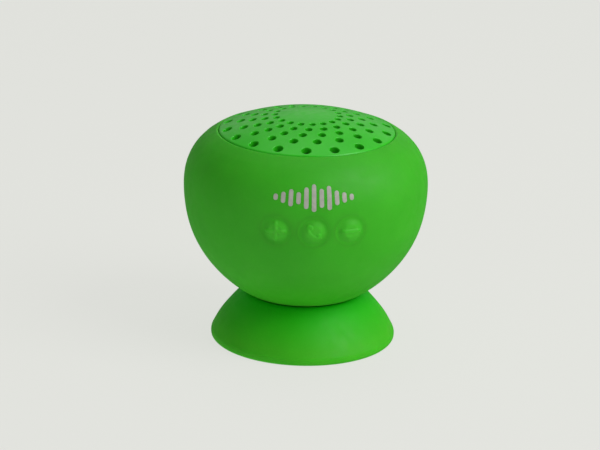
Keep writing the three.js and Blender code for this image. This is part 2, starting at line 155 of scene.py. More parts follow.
def two_tone(n, a, b, scale, detail=3.0, stretch=(1, 1, 1)):
    n.link(n.ramp(n.noise(scale, detail, stretch=stretch), [(0.32, a), (0.68, b)]), n.bsdf.inputs["Base Color"])


def silicone(name, dark, light, rough=0.55, sheen=0.02, spec=0.44, painted_highlight=None, painted_shade_band=None):
    """Soft-touch silicone: faint tone drift, a satin bloom at grazing angles, a very fine moulded grain.
    A centre, radius and colour paint a paler tone round that centre: a painted highlight where a button dome catches
    the light.
    A height span (from, to, colour) deepens the green with height: painted shade, standing in for the shade the body
    casts on the top of the cup."""
    n = Nodes(name)
    n.set(Subsurface_Weight=0.45, Subsurface_Scale=0.0025)
    n.bsdf.inputs["Subsurface Radius"].default_value = (0.25, 1.0, 0.15)
    n.set(Sheen_Weight=sheen, Sheen_Roughness=0.45, Specular_IOR_Level=spec, IOR=1.42)
    n.bsdf.inputs["Sheen Tint"].default_value = lin(170, 235, 150)
    drift = n.noise(95.0, 4.0, 0.55)
    fleck = n.noise(2600.0, 2.0, 0.5)
    mix = n.math("ADD", n.math("MULTIPLY", drift, 0.7), n.math("MULTIPLY", fleck, 0.3))
    tone = n.ramp(mix, [(0.36, dark), (0.64, light)])
    # painted highlight: paler towards the middle of a button dome
    if painted_highlight:
        far = n.new("ShaderNodeVectorMath", operation="DISTANCE")
        n.link(n.coord.outputs["Object"], far.inputs[0])
        far.inputs[1].default_value = painted_highlight[0]
        highlight_mix = n.new("ShaderNodeMixRGB", blend_type="MIX")
        n.link(n.span(far.outputs["Value"], 1.0, 0.0, painted_highlight[1] * 0.35, painted_highlight[1]), highlight_mix.inputs[0])
        n.link(tone, highlight_mix.inputs[1])
        highlight_mix.inputs[2].default_value = painted_highlight[2]
        tone = highlight_mix.outputs[0]
    # painted shade: a deeper, purer green towards the top of the cup, under the body
    if painted_shade_band:
        axes = n.new("ShaderNodeSeparateXYZ")
        n.link(n.coord.outputs["Object"], axes.inputs[0])
        shade_mix = n.new("ShaderNodeMixRGB", blend_type="MIX")
        n.link(n.span(axes.outputs["Z"], 0.0, 1.0, painted_shade_band[0], painted_shade_band[1]), shade_mix.inputs[0])
        n.link(tone, shade_mix.inputs[1])
        shade_mix.inputs[2].default_value = painted_shade_band[2]
        tone = shade_mix.outputs[0]
    n.link(tone, n.bsdf.inputs["Base Color"])
    n.link(n.span(n.noise(420.0, 3.0), rough - 0.05, rough + 0.06), n.bsdf.inputs["Roughness"])
    fine = n.bump(n.noise(7200.0, 2.0, 0.6), 0.22, 0.00004)
    n.link(n.bump(n.noise(260.0, 2.0), 0.05, 0.0002, fine), n.bsdf.inputs["Normal"])
    return n.mat


def moulded(name, dark, light, rough, spec=0.5, grain=3500.0, depth=0.00003, strength=0.25, coat=0.0, scale=140.0):
    n = Nodes(name)
    n.set(Specular_IOR_Level=spec, Coat_Weight=coat, Coat_Roughness=0.18)
    two_tone(n, dark, light, scale, 4.0)
    n.link(n.span(n.noise(700.0, 3.0), rough - 0.05, rough + 0.07), n.bsdf.inputs["Roughness"])
    n.link(n.bump(n.noise(grain, 3.0, 0.6), strength, depth), n.bsdf.inputs["Normal"])
    return n.mat


def metal(name, dark, light, rough, stretch=(1, 1, 14), scale=900.0):
    n = Nodes(name)
    n.set(Metallic=1.0)
    two_tone(n, dark, light, scale, 3.0, stretch)
    brushed = n.noise(scale * 2.2, 3.0, 0.6, stretch)
    n.link(n.span(brushed, rough - 0.07, rough + 0.1), n.bsdf.inputs["Roughness"])
    n.link(n.bump(brushed, 0.18, 0.00002), n.bsdf.inputs["Normal"])
    return n.mat


def woven(name, dark, light, pitch=0.00035):
    """Plain-weave acoustic cloth: two crossed wave sets raise the threads."""
    n = Nodes(name)
    n.set(Sheen_Weight=0.2, Sheen_Roughness=0.6, Specular_IOR_Level=0.2)
    waves = []
    for direction in ("X", "Y"):
        w = n.new("ShaderNodeTexWave", wave_type="BANDS", bands_direction=direction, Scale=0.5 / pitch / math.pi, Distortion=0.4)
        w.inputs["Detail"].default_value = 1.0
        n.link(n.at(), w.inputs["Vector"])
        waves.append(w.outputs["Fac"])
    thread = n.math("MULTIPLY", waves[0], waves[1])
    n.link(n.ramp(thread, [(0.1, dark), (0.75, light)]), n.bsdf.inputs["Base Color"])
    n.link(n.span(n.noise(1500.0), 0.8, 0.95), n.bsdf.inputs["Roughness"])
    n.link(n.bump(thread, 0.6, 0.0001), n.bsdf.inputs["Normal"])
    return n.mat


def laminate(name):
    """Solder-masked board: mask green with darker copper lands under it."""
    n = Nodes(name)
    n.set(Specular_IOR_Level=0.55)
    b = n.new("ShaderNodeTexBrick")
    b.inputs["Scale"].default_value = 520.0
    b.inputs["Mortar Size"].default_value = 0.08
    b.inputs["Color1"].default_value = lin(14, 92, 52)
    b.inputs["Color2"].default_value = lin(18, 108, 60)
    b.inputs["Mortar"].default_value = lin(44, 140, 84)
    n.link(n.at(), b.inputs["Vector"])
    n.link(b.outputs["Color"], n.bsdf.inputs["Base Color"])
    n.link(n.span(n.noise(500.0), 0.3, 0.45), n.bsdf.inputs["Roughness"])
    n.link(n.bump(b.outputs["Fac"], 0.4, 0.00003), n.bsdf.inputs["Normal"])
    return n.mat


def winding(name):
    n = Nodes(name)
    n.set(Metallic=0.9)
    w = n.new("ShaderNodeTexWave", wave_type="BANDS", bands_direction="Z", Scale=1800.0)
    n.link(n.at(), w.inputs["Vector"])
    n.link(n.ramp(w.outputs["Fac"], [(0.1, lin(120, 52, 22)), (0.8, lin(214, 122, 66))]), n.bsdf.inputs["Base Color"])
    n.link(n.span(n.noise(900.0), 0.28, 0.4), n.bsdf.inputs["Roughness"])
    n.link(n.bump(w.outputs["Fac"], 0.5, 0.00006), n.bsdf.inputs["Normal"])
    return n.mat


GREEN = silicone("silicone_green", lin(55, 178, 20), lin(61, 186, 26))
# the top of the cup carries painted shade: its green deepens with height, under the body
CUP_GREEN = silicone("silicone_green_cup", lin(62, 186, 18), lin(68, 194, 24), spec=0.34, painted_shade_band=(0.0035, 0.0125, lin(14, 190, 2)))
GRILLE_MAT = moulded("grille_green", lin(44, 197, 24), lin(52, 205, 30), 0.34, spec=0.46, grain=5200.0, depth=0.00002, strength=0.12)
PRINT = moulded("print_grey", lin(168, 170, 160), lin(184, 186, 174), 0.42, spec=0.4, grain=6000.0, depth=0.00001, strength=0.2, scale=900.0)
CLOTH = woven("acoustic_cloth", lin(8, 120, 8), lin(14, 160, 14))
CLOTH_DARK = woven("suspension_cloth", lin(150, 112, 58), lin(196, 156, 92), 0.0003)
ABS = moulded("abs_black", lin(20, 21, 23), lin(30, 31, 34), 0.5, grain=4200.0, depth=0.00005, strength=0.5)
STEEL = metal("steel_plated", lin(168, 170, 174), lin(206, 208, 212), 0.3)
FERRITE = moulded("ferrite_dark", lin(38, 39, 42), lin(54, 55, 58), 0.72, grain=2400.0, depth=0.00008, strength=0.5)
PAPER = moulded("paper_black", lin(22, 22, 24), lin(38, 38, 40), 0.9, spec=0.2, grain=1800.0, depth=0.00012, strength=0.7)
RUBBER = moulded("rubber_black", lin(14, 14, 15), lin(24, 24, 25), 0.7, spec=0.3, grain=2600.0, depth=0.00004, strength=0.4)
BOARD = laminate("solder_mask_green")
EPOXY = moulded("epoxy_black", lin(18, 18, 20), lin(28, 28, 30), 0.45, grain=5200.0, depth=0.00003, strength=0.4)
FOIL = metal("foil_pouch", lin(120, 126, 134), lin(152, 158, 166), 0.36, (1, 1, 1), 420.0)
FOAM = moulded("foam_dark", lin(30, 30, 31), lin(52, 52, 54), 0.97, spec=0.15, grain=1500.0, depth=0.0003, strength=0.9)
COPPER = winding("copper_winding")
GOLD = metal("contact_gold", lin(196, 150, 62), lin(232, 192, 96), 0.24, (1, 1, 1), 700.0)
WIRE = moulded("wire_red", lin(150, 18, 16), lin(176, 28, 24), 0.4, grain=2200.0)
WHITE = moulded("plastic_white", lin(222, 222, 216), lin(236, 236, 230), 0.42, grain=3800.0)
CLEAR = moulded("acrylic_clear", lin(200, 226, 206), lin(222, 240, 226), 0.12, grain=3000.0, strength=0.1)
SLOTS = {
    "green_silicone": GREEN, "green_grille": GRILLE_MAT, "black_abs": ABS, "black_cloth": CLOTH, "steel": STEEL,
    "ferrite": FERRITE, "black_paper": PAPER, "black_rubber": RUBBER, "board_green": BOARD, "black_epoxy": EPOXY,
    "cell_foil": FOIL, "foam": FOAM, "copper": COPPER, "red_wire": WIRE, "white_plastic": WHITE, "clear_pipe": CLEAR,
}
for part in frame["record"]["subparts"]:
    node = frame["nodes"][part["node"]]
    node.data.materials.clear()
    node.data.materials.append(SLOTS[part["material_slot"]])


# ------------------------------------------------------------------ mesh helpers
class Builder:
    """Collects points and faces; each face has a smoothing group, and points may carry an exact normal for one group."""

    def __init__(self):
        self.v, self.f, self.g, self.n = [], [], [], {}

    def points(self, pts):
        start = len(self.v)
        self.v.extend([tuple(map(float, p)) for p in pts])
        return list(range(start, len(self.v)))

    def face(self, ids, group):
        ids = [i for k, i in enumerate(ids) if i != ids[k - 1]]
        if len(ids) > 2:
            self.f.append(tuple(ids))
            self.g.append(group)

    def bridge(self, a, b, group, closed=True, flip=False):
        n = len(a)
        for i in range(n if closed else n - 1):
            j = (i + 1) % n
            quad = (a[i], a[j], b[j], b[i])
            self.face(quad[::-1] if flip else quad, group)

    def exact(self, ids, normals, group):
        for i, nn in zip(ids, normals):
            self.n[(i, group)] = nn

    def orient(self):
        """Gives the faces of each closed shell one winding, and turns it to face out."""
        shared = {}
        for i, f in enumerate(self.f):
            for k, a in enumerate(f):
                c = f[(k + 1) % len(f)]
                shared.setdefault((a, c) if a < c else (c, a), []).append((i, a < c))
        near = [[] for _ in self.f]
        for pair in shared.values():
            if len(pair) == 2:
                (i, di), (j, dj) = pair
                near[i].append((j, di == dj))
                near[j].append((i, di == dj))
        flip = [None] * len(self.f)
        v = np.array(self.v)
        for start in range(len(self.f)):
            if flip[start] is not None:
                continue
            flip[start] = False
            shell, k = [start], 0
            while k < len(shell):
                i = shell[k]
                k += 1
                for j, turned in near[i]:
                    if flip[j] is None:
                        flip[j] = flip[i] != turned
                        shell.append(j)
            total = 0.0
            for i in shell:
                f = self.f[i][::-1] if flip[i] else self.f[i]
                a = v[f[0]]
                for k2 in range(1, len(f) - 1):
                    b2, c2 = v[f[k2]], v[f[k2 + 1]]
                    total += a[0] * (b2[1] * c2[2] - b2[2] * c2[1]) + a[1] * (b2[2] * c2[0] - b2[0] * c2[2]) + a[2] * (b2[0] * c2[1] - b2[1] * c2[0])
            for i in shell:
                if flip[i] != (total < 0):
                    self.f[i] = self.f[i][::-1]

    def build(self, name, material):
        self.orient()
        me = bpy.data.meshes.new(name)
        me.from_pydata((np.array(self.v) * MM).tolist(), [], self.f)
        me.validate(clean_customdata=False)
        me.update()
        if len(me.polygons) != len(self.f):
            raise RuntimeError(name + ": faces were dropped, " + str(len(self.f) - len(me.polygons)))
        co = np.array(self.v)
        loops = np.zeros(len(me.loops), int)
        me.loops.foreach_get("vertex_index", loops)
        owner = np.zeros(len(me.loops), int)
        for p in me.polygons:
            owner[p.loop_start:p.loop_start + p.loop_total] = p.index
        area = np.zeros(len(me.polygons))
        me.polygons.foreach_get("area", area)
        normal = np.zeros(len(me.polygons) * 3)
        me.polygons.foreach_get("normal", normal)
        normal = normal.reshape(-1, 3) * (area[:, None] * 1e6 + 1e-9)
        groups = np.array(self.g)
        key = loops.astype(np.int64) * 1000 + groups[owner]
        uniq, inverse = np.unique(key, return_inverse=True)
        total = np.zeros((len(uniq), 3))
        np.add.at(total, inverse, normal[owner])
        for k, u in enumerate(uniq):
            given = self.n.get((int(u // 1000), int(u % 1000)))
            if given is not None:
                total[k] = given
        total /= np.maximum(np.linalg.norm(total, axis=1), 1e-12)[:, None]
        me.polygons.foreach_set("use_smooth", [True] * len(me.polygons))
        me.normals_split_custom_set(total[inverse].tolist())
        me.materials.append(material)
        ob = bpy.data.objects.new(name, me)
        bpy.context.scene.collection.objects.link(ob)
        return ob


def spline(points, step):
    """Catmull-Rom through the points, resampled at about the given step."""
    p = np.array(points, float)
    q = np.vstack([2 * p[0] - p[1], p, 2 * p[-1] - p[-2]])
    dense = []
    for i in range(len(p) - 1):
        a, b, c, d = q[i], q[i + 1], q[i + 2], q[i + 3]
        for t in np.linspace(0, 1, 40, endpoint=False):
            dense.append(0.5 * (2 * b + (c - a) * t + (2 * a - 5 * b + 4 * c - d) * t * t + (3 * b - a - 3 * c + d) * t ** 3))
    dense.append(p[-1])
    dense = np.array(dense)
    s = np.concatenate([[0], np.cumsum(np.linalg.norm(np.diff(dense, axis=0), axis=1))])
    n = max(2, int(round(s[-1] / step)) + 1)
    t = np.linspace(0, s[-1], n)
    return np.column_stack([np.interp(t, s, dense[:, k]) for k in range(2)])


def arc(cx, cz, r, a0, a1, n):
    return [(cx + r * math.cos(math.radians(a)), cz + r * math.sin(math.radians(a))) for a in np.linspace(a0, a1, n)]


def lathe(builder, profile, turns=96, closed=True, corner=32.0, first_group=0, spin=0.0):
    """Turns an (r, z) outline that runs clockwise seen with r to the right, so that faces look out. A new smoothing group starts at each corner."""
    pts = [tuple(p) for p in profile]
    n = len(pts)
    rings = []
    for r, z in pts:
        if r < 1e-6:
            rings.append(builder.points([(0, 0, z)]) * turns)
        else:
            rings.append(builder.points([(r * math.sin(a + spin), -r * math.cos(a + spin), z) for a in np.arange(turns) * 2 * math.pi / turns]))
    seg = [np.array(pts[(i + 1) % n]) - np.array(pts[i]) for i in range(n)]
    group = first_group
    for i in range(n if closed else n - 1):
        if i:
            a, b = seg[i - 1], seg[i]
            if np.linalg.norm(a) > 1e-9 and np.linalg.norm(b) > 1e-9:
                cosang = a @ b / np.linalg.norm(a) / np.linalg.norm(b)
                if cosang < math.cos(math.radians(corner)):
                    group += 1
        if pts[i][0] < 1e-6 and pts[(i + 1) % n][0] < 1e-6:
            continue
        builder.bridge(rings[i], rings[(i + 1) % n], group)
    return rings


def finish_piece(ob, body, replaced=()):
    if body:
        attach(ob, body)
    if replaced:
        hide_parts(*replaced)
    return ob


# ------------------------------------------------------------------ the body surface as a function
SURF = spline(OUTLINE, 0.25)
SURF_S = np.concatenate([[0], np.cumsum(np.linalg.norm(np.diff(SURF, axis=0), axis=1))])
TAN = np.gradient(SURF, axis=0)
TAN /= np.linalg.norm(TAN, axis=1)[:, None]
for _ in range(6):   # calm the tangents
    TAN[1:-1] = (TAN[:-2] + 2 * TAN[1:-1] + TAN[2:]) / 4
TAN /= np.linalg.norm(TAN, axis=1)[:, None]
Z_DOWN = SURF[:, 1]


def radius(z):
    return np.interp(-np.asarray(z, float), -Z_DOWN, SURF[:, 0])


def s_of_z(z):
    return np.interp(-np.asarray(z, float), -Z_DOWN, SURF_S)


def at_s(s):
    """(r, z, outward normal r, outward normal z) along the outline."""
    s = np.asarray(s, float)
    r, z = np.interp(s, SURF_S, SURF[:, 0]), np.interp(s, SURF_S, SURF[:, 1])
    tr, tz = np.interp(s, SURF_S, TAN[:, 0]), np.interp(s, SURF_S, TAN[:, 1])
    k = np.hypot(tr, tz)
    return r, z, -tz / k, tr / k


def skin(phi, s, depth=0.0):
    """Points and normals on the body, phi from the front (-Y) towards +X."""
    phi, s = np.asarray(phi, float), np.asarray(s, float)
    r, z, nr, nz = at_s(s)
    r, z = r - depth * nr, z - depth * nz
    pts = np.column_stack([r * np.sin(phi), -r * np.cos(phi), z])
    nn = np.column_stack([nr * np.sin(phi), -nr * np.cos(phi), nz])
    return pts, nn


def around(phi0, u, z):
    """phi of the point u mm sideways from phi0, seen along that direction, at height z."""
    r = radius(z)
    return phi0 + np.arctan2(u, np.sqrt(r * r - np.asarray(u) ** 2))


def rounded(x0, x1, z0, z1, k, per=8, along=10):
    """Outline of a rounded rectangle, anticlockwise."""
    pts = []
    for cx, cz, a in ((x1 - k, z0 + k, -90), (x1 - k, z1 - k, 0), (x0 + k, z1 - k, 90), (x0 + k, z0 + k, 180)):
        pts += arc(cx, cz, k, a, a + 90, per + 1)
    out = []
    for i, p in enumerate(pts):
        q = pts[(i + 1) % len(pts)]
        d = math.dist(p, q)
        m = max(1, int(round(d / 1.2))) if d > 1.4 else 1
        out += [(p[0] + (q[0] - p[0]) * t / m, p[1] + (q[1] - p[1]) * t / m) for t in range(m)]
    return out


def inside(poly, x, y):
    c = False
    n = len(poly)
    for i in range(n):
        (x0, y0), (x1, y1) = poly[i], poly[i - 1]
        if (y0 > y) != (y1 > y) and x < (x1 - x0) * (y - y0) / (y1 - y0) + x0:
            c = not c
    return c


def away(poly, x, y, gap):
    return np.min(np.hypot(np.array([p[0] for p in poly]) - x, np.array([p[1] for p in poly]) - y)) > gap


# ------------------------------------------------------------------ silicone sleeve
FLAP = (-9.9, 9.5, 29.9, 36.1, 2.6)
BUTTONS = [("button_volume_up", -BUTTON_X), ("button_call", 0.0), ("button_volume_down", BUTTON_X)]
for name, x in BUTTONS:
    assert frame["nodes"][name]
PHI = {name: math.asin(x / float(radius(BUTTON_Z))) for name, x in BUTTONS}
RIM_N = 96


def circle(phi0, z0, rad, n):
    t = np.arange(n) * 2 * math.pi / n
    u, w = rad * np.cos(t), rad * np.sin(t)
    return list(zip(around(phi0, u, z0 + w), s_of_z(z0 + w)))


def window_outline(grow):
    x0, x1, z0, z1, k = FLAP
    pts = rounded(x0 - grow, x1 + grow, z0 - grow, z1 + grow, k + grow)
    # seen from behind, +X is at decreasing phi past the half turn
    return [(float(math.pi - np.arcsin(np.clip(x / radius(z), -1, 1))), float(s_of_z(z))) for x, z in pts]


def small_hole(x, z, rad, n=20):
    t = np.arange(n) * 2 * math.pi / n
    return [(float(math.pi - np.arcsin((x + rad * math.cos(a)) / radius(z + rad * math.sin(a)))), float(s_of_z(z + rad * math.sin(a)))) for a in t]


holes_front = [circle(PHI[name], BUTTON_Z, PATCH_R, RIM_N) for name, _ in BUTTONS]
holes_back = [window_outline(0.28), small_hole(11.9, 33.4, 0.6), small_hole(-12.1, 33.4, 0.85)]

b = Builder()
S_ROWS = np.linspace(0, SURF_S[-1], 76)
STEP = 2 * math.pi / TURNS
outer, inner = {}, {}


def sleeve_point(phi, s):
    """Adds one outer and one inner point and returns their numbers."""
    po, no = skin([phi], [s])
    pi, ni = skin([phi], [s], SLEEVE_T)
    p = pi[0].copy()
    r = math.hypot(p[0], p[1])
    if p[2] > 50 and r < SEAM_R:
        p[:2] *= SEAM_R / r
    if p[2] < 14.05:
        p[2] = max(p[2], 12.4 + SLEEVE_T - 0.15)
    o, i = b.points([po[0]])[0], b.points([p])[0]
    b.exact([o], [no[0]], 1)
    return o, i


def grid(i, j):
    k = (i % TURNS, j)
    if k not in outer:
        outer[k], inner[k] = sleeve_point(k[0] * STEP, S_ROWS[j])
    return outer[k], inner[k]


def block(phi_low, phi_high, z_low, z_high, holes):
    """A window of the grid filled by triangles round its holes. Returns its rows and columns."""
    i0, i1 = int(round(phi_low / STEP)), int(round(phi_high / STEP))
    j0 = int(np.argmin(abs(S_ROWS - s_of_z(z_high))))
    j1 = int(np.argmin(abs(S_ROWS - s_of_z(z_low))))
    pts, ids, edges = [], [], []
    index = {}
    for i in range(i0, i1 + 1):
        for j in range(j0, j1 + 1):
            x, y = i * STEP * 30, S_ROWS[j]
            edge = i in (i0, i1) or j in (j0, j1)
            if not edge and any(inside(h, x / 30, y) or not away([(p[0] * 30, p[1]) for p in h], x, y, 0.45) for h in holes):
                continue
            index[(i, j)] = len(pts)
            pts.append(Vector((x, y)))
            ids.append(grid(i, j))
    for i in range(i0, i1):
        edges += [(index[(i, j0)], index[(i + 1, j0)]), (index[(i, j1)], index[(i + 1, j1)])]
    for j in range(j0, j1):
        edges += [(index[(i0, j)], index[(i0, j + 1)]), (index[(i1, j)], index[(i1, j + 1)])]
    loops = []
    for h in holes:
        start = len(pts)
        for p, s in h:
            pts.append(Vector((p * 30, s)))
            ids.append(sleeve_point(p, s))
        edges += [(start + k, start + (k + 1) % len(h)) for k in range(len(h))]
        loops.append([ids[start + k] for k in range(len(h))])
    out, _, faces, origin, _, _ = delaunay_2d_cdt(pts, edges, [], 0, 1e-7, True)
    for f in faces:
        c = sum((out[k] for k in f), Vector((0, 0))) / len(f)
        if any(inside(h, c.x / 30, c.y) for h in holes):
            continue
        o = [ids[origin[k][0]] for k in f]
        p = [np.array(b.v[q[0]]) for q in o]
        n = np.cross(p[1] - p[0], p[2] - p[0])
        if n @ (p[0] * (1, 1, 0)) < 0:
            o = o[::-1]
        b.face([q[0] for q in o], 1)
        b.face([q[1] for q in o][::-1], 2)
    for loop in loops:
        po = [np.array(b.v[q[0]]) for q in loop]
        c = sum(po) / len(po)
        turn = sum(np.cross(po[k] - c, po[(k + 1) % len(po)] - c) for k in range(len(po)))
        seq = loop if turn @ (c * (1, 1, 0)) > 0 else loop[::-1]
        b.bridge([q[0] for q in seq], [q[1] for q in seq], 5)
    return i0, i1, j0, j1


wall = 31 * math.pi / 180
blocks = [
    block(-wall, wall, 33.2, 43.8, holes_front),
    block(math.pi - wall, math.pi + wall, 27.6, 38.2, holes_back),
]
for i in range(TURNS):
    for j in range(len(S_ROWS) - 1):
        if any(((i - i0) % TURNS) < (i1 - i0) and j0 <= j < j1 for i0, i1, j0, j1 in blocks):
            continue
        q = [grid(i, j), grid(i + 1, j), grid(i + 1, j + 1), grid(i, j + 1)]
        b.face([k[0] for k in q][::-1], 1)
        b.face([k[1] for k in q], 2)
# rounded lip round the grille
top_o = [grid(i, 0)[0] for i in range(TURNS)]
top_i = [grid(i, 0)[1] for i in range(TURNS)]
r0, z0, nr, nz = at_s(0.0)
lip = [(22.86, 54.75), (22.70, 54.75), (22.54, 54.72), (22.43, 54.65), (22.38, 54.56), (22.36, 54.48), (22.33, 54.45), (22.32, 53.9)]
last = top_o
for r, z in lip:
    ring = b.points([(r * math.sin(i * STEP), -r * math.cos(i * STEP), z) for i in range(TURNS)])
    b.bridge(ring, last, 1 if z > 54.5 else 3)
    last = ring
b.bridge(top_i, last, 3)
# flat underside to the hole for the cup's boss
bot_o = [grid(i, len(S_ROWS) - 1)[0] for i in range(TURNS)]
bot_i = [grid(i, len(S_ROWS) - 1)[1] for i in range(TURNS)]
last = bot_o
for r, z in [(12.2, 12.30), (11.8, 12.26), (5.6, 12.26), (5.3, 12.5), (5.3, 13.9)]:
    ring = b.points([(r * math.sin(i * STEP), -r * math.cos(i * STEP), z) for i in range(TURNS)])
    b.bridge(last, ring, 1 if r > 11.9 else 4)
    last = ring
b.bridge(last, bot_i, 4)
sleeve = finish_piece(b.build("sleeve_skin", GREEN), "head", ["silicone_sleeve"])


# ------------------------------------------------------------------ push-button domes, one patch of skin each
def soft(x, a, c):
    t = np.clip((x - a) / (c - a), 0, 1)
    return t * t * (3 - 2 * t)


def bar_mask(u, w, half_u, half_w, edge):
    k = min(half_u, half_w)
    du, dw = np.abs(u) - (half_u - k), np.abs(w) - (half_w - k)
    d = np.hypot(np.maximum(du, 0), np.maximum(dw, 0)) + np.minimum(np.maximum(du, dw), 0) - k
    return 1 - soft(d, -edge, edge * 0.6)


def capsule(u, w, a, b, r):
    dx, dy = b[0] - a[0], b[1] - a[1]
    t = np.clip(((u - a[0]) * dx + (w - a[1]) * dy) / (dx * dx + dy * dy), 0, 1)
    return np.hypot(u - a[0] - t * dx, w - a[1] - t * dy) - r


def handset_mask(u, w, edge):
    """Telephone handset lying aslant: a bowed grip joining an ear piece and a mouth piece."""
    c, rad = 1.35, 2.75
    turn = np.arctan2(w - c, u - c)
    turn = np.clip(np.where(turn > 0, turn - 2 * math.pi, turn), math.radians(-186), math.radians(-84))
    grip = np.hypot(u - c - rad * np.cos(turn), w - c - rad * np.sin(turn)) - 0.42
    ear = capsule(u, w, (-1.25, 1.5), (-0.7, 1.32), 0.56)
    mouth = capsule(u, w, (1.5, -1.25), (1.32, -0.7), 0.56)
    return 1 - soft(np.minimum(grip, np.minimum(ear, mouth)), -edge, edge * 0.6)


def relief(kind, u, w):
    rho = np.hypot(u, w)
    dome = 0.40 * (1 - soft(rho, 1.5, 3.0)) + 0.10 * np.clip(1 - (rho / 3.0) ** 2, 0, 1)
    valley = -0.07 * np.exp(-(((rho - 3.3) / 0.45) ** 2)) * (1 - soft(rho, 3.5, 4.15))
    fade = 1 - soft(rho, 2.7, 3.3)
    if kind == "button_volume_up":
        mark = np.maximum(bar_mask(u, w, 2.7, 0.5, 0.34), bar_mask(u, w, 0.5, 2.7, 0.34))
    elif kind == "button_volume_down":
        mark = bar_mask(u, w, 2.7, 0.5, 0.34)
    else:
        mark = handset_mask(u, w, 0.3)
    return dome + valley + 0.2 * mark * fade


def patch(name):
    phi0 = PHI[name]
    n_dir = np.array([math.sin(phi0), -math.cos(phi0), 0.0])
    u_dir = np.array([math.cos(phi0), math.sin(phi0), 0.0])
    rows = np.concatenate([np.linspace(0.12, 3.6, 30), [3.8, 4.0, PATCH_R]])
    t = np.arange(RIM_N) * 2 * math.pi / RIM_N

    def surface(u, w):
        q = np.sqrt(radius(BUTTON_Z + w) ** 2 - u * u) + relief(name, u, w)
        return u[:, None] * u_dir + q[:, None] * n_dir + np.column_stack([0 * u, 0 * u, BUTTON_Z + w])

    def normal(u, w):
        e = 0.03
        a = surface(u + e, w) - surface(u - e, w)
        c = surface(u, w + e) - surface(u, w - e)
        m = np.cross(a, c)
        m /= np.linalg.norm(m, axis=1)[:, None]
        return m * np.where((m @ n_dir) < 0, -1, 1)[:, None]

    p = Builder()
    zero = np.zeros(1)
    centre = p.points(surface(zero, zero))
    p.exact(centre, normal(zero, zero), 1)
    last = centre * RIM_N
    for k, rho in enumerate(rows):
        u, w = rho * np.cos(t), rho * np.sin(t)
        ring = p.points(surface(u, w))
        if k == len(rows) - 1:
            phis = around(phi0, u, BUTTON_Z + w)
            _, nn = skin(phis, s_of_z(BUTTON_Z + w))
            p.exact(ring, nn, 1)
        else:
            p.exact(ring, normal(u, w), 1)
        p.bridge(last, ring, 1, flip=True)
        last = ring
    # underside, a little smaller than the opening it fills
    for rho, depth, g in [(PATCH_R - 0.04, 0.12, 2), (PATCH_R - 0.04, 1.1, 2), (3.3, 1.1, 3), (2.2, 1.08, 3), (1.1, 1.06, 3)]:
        u, w = rho * np.cos(t), rho * np.sin(t)
        q = np.sqrt(radius(BUTTON_Z + w) ** 2 - u * u) - depth
        ring = p.points(u[:, None] * u_dir + q[:, None] * n_dir + np.column_stack([0 * u, 0 * u, BUTTON_Z + w]))
        p.bridge(last, ring, g, flip=True)
        last = ring
    end = p.points([n_dir * (radius(BUTTON_Z) - 1.05) + np.array([0, 0, BUTTON_Z])])
    p.bridge(last, end * RIM_N, 3, flip=True)
    # centre of the painted highlight on the button dome
    highlight_centre = n_dir * (float(radius(BUTTON_Z)) + 0.4) + np.array([0, 0, BUTTON_Z])
    ob = p.build(name + "_skin", silicone("silicone_" + name, lin(55, 178, 20), lin(61, 186, 26), painted_highlight=(tuple(highlight_centre * MM), 0.0034, lin(72, 196, 40))))
    base = n_dir * (float(radius(BUTTON_Z)) + 0.02) + np.array([0, 0, BUTTON_Z])
    top = n_dir * (float(radius(BUTTON_Z)) + 0.5) + np.array([0, 0, BUTTON_Z])
    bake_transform(ob)
    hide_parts(name)
    return ob


for name, _ in BUTTONS:
    patch(name)


# ------------------------------------------------------------------ grille with ninety rounded holes
def dome_z(r, depth=0.0):
    return GRILLE_TOP - SPHERE + np.sqrt((SPHERE - depth) ** 2 - np.asarray(r, float) ** 2)


